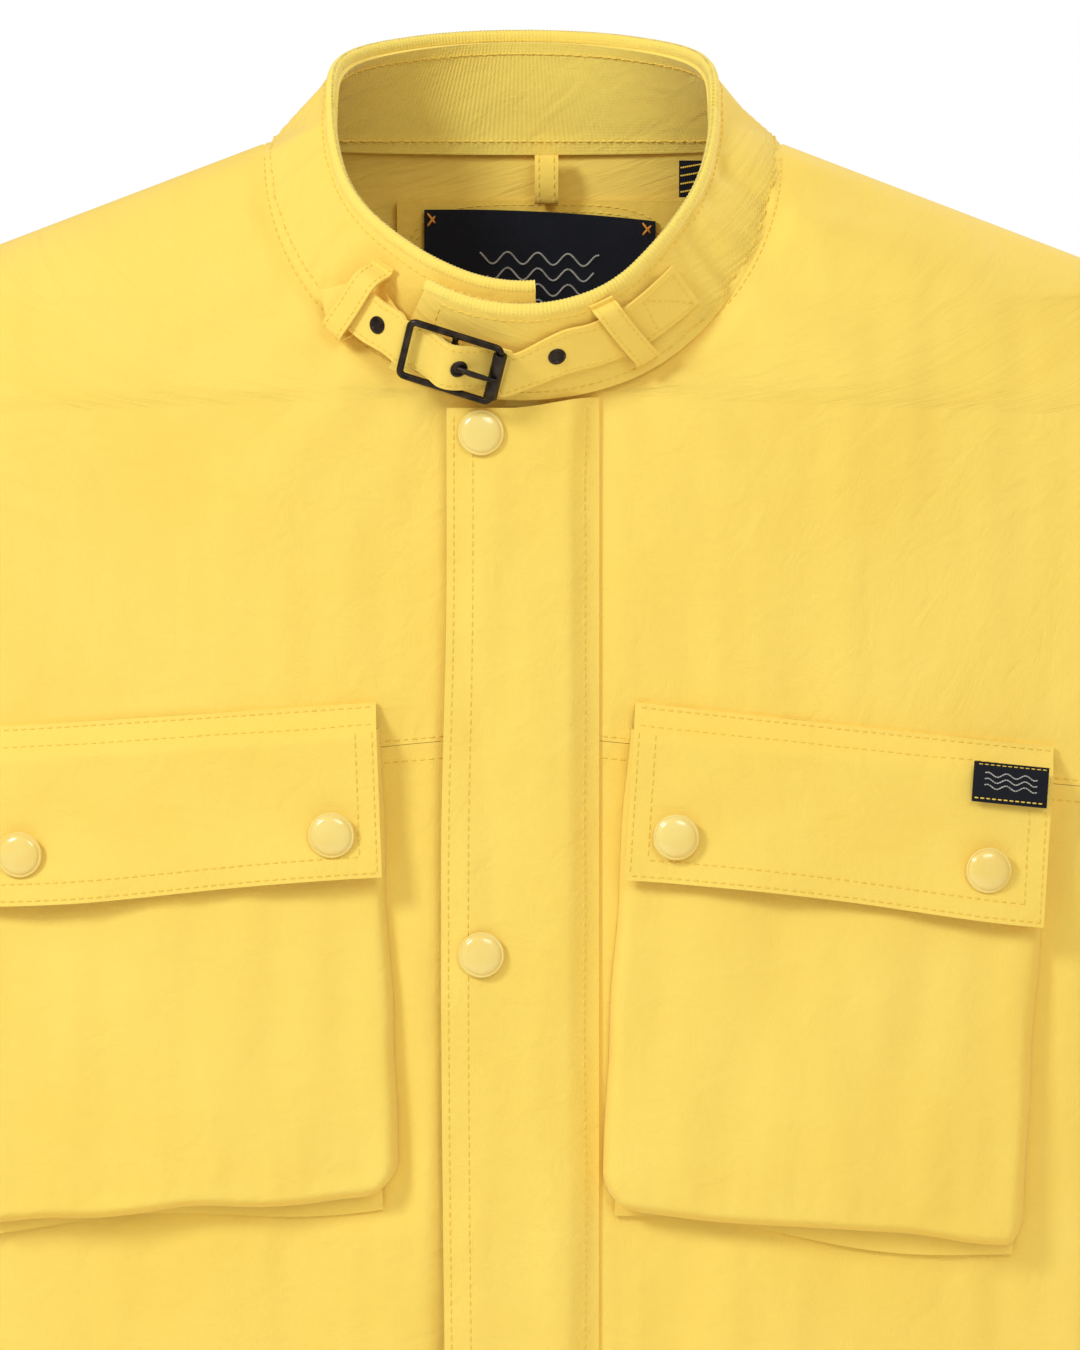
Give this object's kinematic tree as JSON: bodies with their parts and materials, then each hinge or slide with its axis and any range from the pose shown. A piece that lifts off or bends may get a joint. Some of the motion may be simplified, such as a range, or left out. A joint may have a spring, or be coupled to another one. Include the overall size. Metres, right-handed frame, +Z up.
{
  "type": "foul weather jacket",
  "caption": "Hip length sailing jacket with a buckled stand collar, a snapped storm flap over a zip, bellows pockets with snapped flaps, and tabbed cuffs.",
  "frame": {"origin": "the point inside the top of the hanging loop where a hook bears", "axes": "+Z up as the jacket hangs, the front faces -Y, +X to the wearer's left"},
  "size_m": [1.0162, 0.1527, 0.8087],
  "materials": {
    "shell_cloth": "matte",
    "lining": "matte",
    "rib_knit": "matte",
    "snap_enamel": "gloss",
    "dark_metal": "satin",
    "zip_metal": "satin",
    "black_weave": "matte"
  },
  "bodies": {
    "jacket": {"back_panel": "shell_cloth", "back_yoke": "shell_cloth", "buckle_tab": "shell_cloth", "chest_left_bag": "shell_cloth", "chest_right_bag": "shell_cloth", "collar_edge_binding": "rib_knit", "collar_knit_band": "rib_knit", "collar_shell": "shell_cloth", "collar_strap": "shell_cloth", "cuff_left": "shell_cloth", "cuff_right": "shell_cloth", "eyelet_end": "dark_metal", "eyelet_open": "dark_metal", "front_left_panel": "shell_cloth", "front_left_yoke": "shell_cloth", "front_right_panel": "shell_cloth", "front_right_yoke": "shell_cloth", "hanging_loop": "shell_cloth", "label_patch": "lining", "lower_left_bag": "shell_cloth", "lower_right_bag": "shell_cloth", "neck_label": "black_weave", "size_label": "black_weave", "sleeve_left": "shell_cloth", "sleeve_right": "shell_cloth", "strap_loop_left": "shell_cloth", "strap_loop_right": "shell_cloth", "zip_stop": "zip_metal", "zip_tape_left": "shell_cloth", "zip_tape_right": "shell_cloth", "zip_teeth": "zip_metal"},
    "storm_flap": {"storm_flap": "shell_cloth", "storm_snap_cap_1": "snap_enamel", "storm_snap_cap_2": "snap_enamel", "storm_snap_cap_3": "snap_enamel", "storm_snap_cap_4": "snap_enamel"},
    "zip_slider": {"zip_slider": "zip_metal"},
    "zip_puller": {"zip_puller": "zip_metal"},
    "buckle": {"buckle_frame": "dark_metal"},
    "buckle_roller": {"buckle_roller": "dark_metal"},
    "buckle_prong": {"buckle_prong": "dark_metal"},
    "cuff_tab_left": {"cuff_tab_left": "shell_cloth", "cuff_snap_cap_left": "snap_enamel"},
    "cuff_tab_right": {"cuff_tab_right": "shell_cloth", "cuff_snap_cap_right": "snap_enamel"},
    "chest_left_flap": {"chest_left_flap": "shell_cloth", "chest_left_snap_cap_1": "snap_enamel", "chest_left_snap_cap_2": "snap_enamel", "pocket_tab_label": "black_weave"},
    "chest_right_flap": {"chest_right_flap": "shell_cloth", "chest_right_snap_cap_1": "snap_enamel", "chest_right_snap_cap_2": "snap_enamel"},
    "lower_left_flap": {"lower_left_flap": "shell_cloth", "lower_left_snap_cap_1": "snap_enamel", "lower_left_snap_cap_2": "snap_enamel"},
    "lower_right_flap": {"lower_right_flap": "shell_cloth", "lower_right_snap_cap_1": "snap_enamel", "lower_right_snap_cap_2": "snap_enamel"}
  },
  "joints": [
    {"name": "storm_flap_hinge", "type": "hinge", "parent": "jacket", "child": "storm_flap", "pos_m": [0.0195, -0.11233, -0.3946], "axis": [0, 0.0157, 0.9999], "range_deg": [0, 95]},
    {"name": "chest_left_flap_hinge", "type": "hinge", "parent": "jacket", "child": "chest_left_flap", "pos_m": [0.11097, -0.10265, -0.21034], "axis": [-0.9923, -0.0547, 0.1111], "range_deg": [0, 115]},
    {"name": "chest_right_flap_hinge", "type": "hinge", "parent": "jacket", "child": "chest_right_flap", "pos_m": [-0.14148, -0.10198, -0.20706], "axis": [-0.9952, 0.069, -0.0697], "range_deg": [0, 115]},
    {"name": "lower_left_flap_hinge", "type": "hinge", "parent": "jacket", "child": "lower_left_flap", "pos_m": [0.115, -0.10637, -0.46744], "axis": [-0.9975, -0.0642, 0.0299], "range_deg": [0, 115]},
    {"name": "lower_right_flap_hinge", "type": "hinge", "parent": "jacket", "child": "lower_right_flap", "pos_m": [-0.133, -0.10637, -0.46744], "axis": [-0.9975, 0.0642, -0.0299], "range_deg": [0, 115]},
    {"name": "zip_slide", "type": "slide", "parent": "jacket", "child": "zip_slider", "axis": [0, -0.0157, -0.9999], "range_m": [0, 0.59]},
    {"name": "zip_puller_swing", "type": "hinge", "parent": "zip_slider", "child": "zip_puller", "pos_m": [-0.009, -0.10077, -0.0962], "axis": [-1, 0, 0], "range_deg": [0, 7]},
    {"name": "buckle_rock", "type": "hinge", "parent": "jacket", "child": "buckle", "pos_m": [-0.03551, -0.11875, -0.07423], "axis": [0.2163, -0.4147, 0.8839], "range_deg": [-3, 3]},
    {"name": "roller_spin", "type": "hinge", "parent": "buckle", "child": "buckle_roller", "pos_m": [-0.01893, -0.121, -0.07934], "axis": [0.2163, -0.4147, 0.8839], "continuous": true},
    {"name": "prong_lift", "type": "hinge", "parent": "buckle", "child": "buckle_prong", "pos_m": [-0.03551, -0.11875, -0.07423], "axis": [-0.2163, 0.4147, -0.8839], "range_deg": [0, 8]},
    {"name": "cuff_tab_left_hinge", "type": "hinge", "parent": "jacket", "child": "cuff_tab_left", "pos_m": [0.407, -0.112, -0.7216], "axis": [0.1643, 0, -0.9864], "range_deg": [0, 95]},
    {"name": "cuff_tab_right_hinge", "type": "hinge", "parent": "jacket", "child": "cuff_tab_right", "pos_m": [-0.425, -0.112, -0.7216], "axis": [0.1643, 0, 0.9864], "range_deg": [0, 95]}
  ]
}
